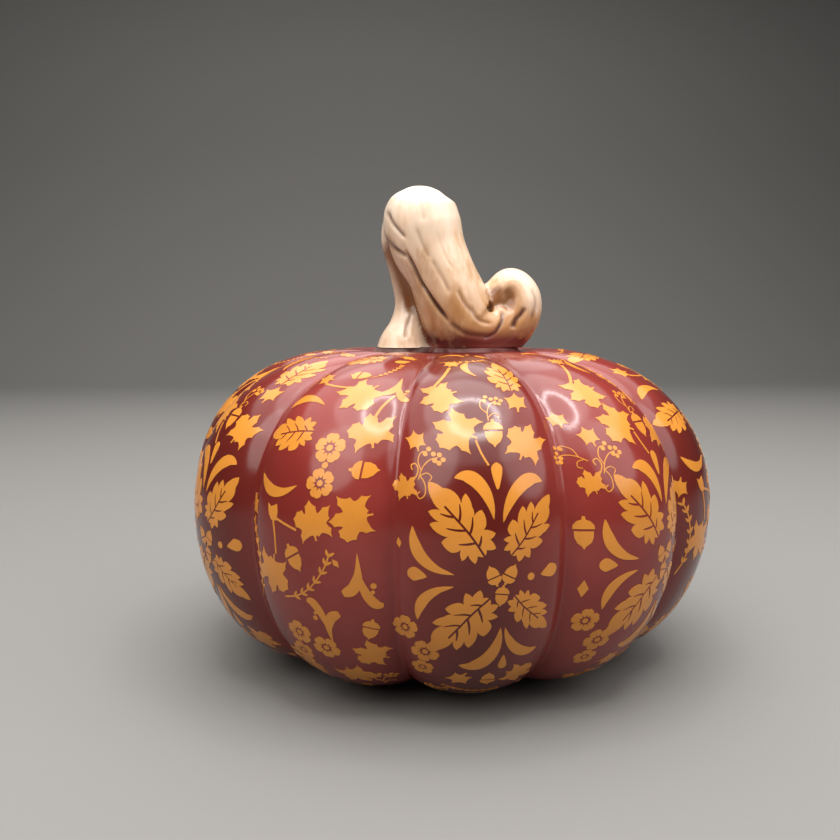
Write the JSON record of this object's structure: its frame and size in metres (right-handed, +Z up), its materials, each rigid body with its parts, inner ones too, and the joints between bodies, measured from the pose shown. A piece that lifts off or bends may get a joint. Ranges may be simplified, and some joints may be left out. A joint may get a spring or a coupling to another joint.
{
  "type": "ceramic pumpkin figure",
  "caption": "Ribbed ceramic pumpkin figure in burgundy glaze with a gold leaf and acorn print and a hooked cream stem, standing free on felt pads.",
  "frame": {"origin": "on the table, under the middle of the body", "axes": "+Z up; one lobe's crest faces -Y, which is the front; the stem's hook curls towards +X"},
  "size_m": [0.2138, 0.2124, 0.192],
  "materials": {
    "burgundy_glaze": "glossy burgundy glaze over white earthenware",
    "gold_print": "mustard gold transfer print fired under the same gloss",
    "stained_cream_glaze": "glossy cream glaze with a brown wash in the hollows",
    "joining_slip": "squeezed-out joining slip under thin glaze",
    "grey_felt": "pressed felt"
  },
  "bodies": {
    "root": {"pumpkin_shell": "burgundy_glaze", "stem": "stained_cream_glaze", "stem_luting_seam": "joining_slip", "felt_pad_1": "grey_felt", "felt_pad_2": "grey_felt", "felt_pad_3": "grey_felt", "felt_pad_4": "grey_felt"}
  },
  "joints": []
}
